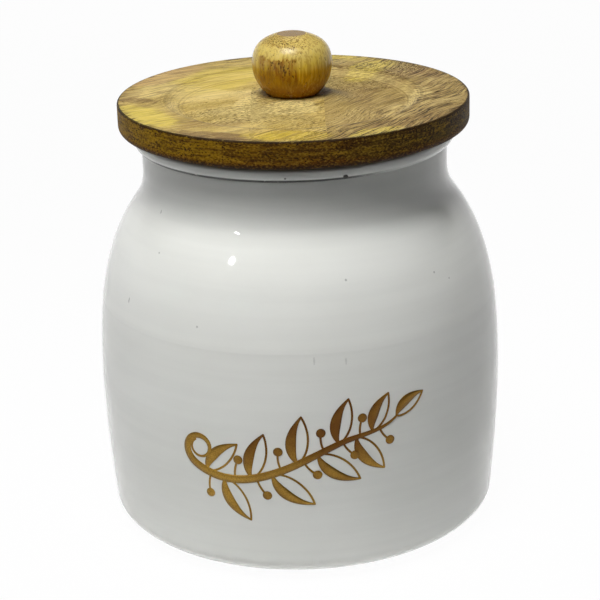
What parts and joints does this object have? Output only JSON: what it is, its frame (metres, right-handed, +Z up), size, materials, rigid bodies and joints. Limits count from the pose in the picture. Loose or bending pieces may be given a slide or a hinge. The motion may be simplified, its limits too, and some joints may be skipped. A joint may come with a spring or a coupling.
{
  "type": "storage canister",
  "caption": "Necked enamelled-metal canister with a rolled rim and a dished wooden lid with a ball knob that lifts straight off.",
  "frame": {"origin": "centre of the flat ring that the canister stands on", "axes": "+Z up along the canister's axis, towards the knob; -Y is the decorated front"},
  "size_m": [0.1503, 0.1504, 0.1829],
  "materials": {
    "enamel": "glossy white enamel, faintly brushed",
    "lid_wood": "satin lacquered mango wood, face grain",
    "plug_wood": "satin lacquered mango wood, cross grain",
    "knob_wood": "satin lacquered mango wood, turned",
    "silicone": "translucent milky silicone",
    "zinc_steel": "bright zinc plate"
  },
  "bodies": {
    "canister": {"body_lower": "enamel", "body_upper": "enamel"},
    "lid": {"lid_disc": "lid_wood", "lid_plug": "plug_wood", "seal_ring": "silicone", "knob": "knob_wood", "knob_screw": "zinc_steel", "screw_washer": "zinc_steel"}
  },
  "joints": [
    {"name": "lid_lift", "type": "slide", "parent": "canister", "child": "lid", "axis": [0, 0, 1], "range_m": [0, 0.14]}
  ]
}
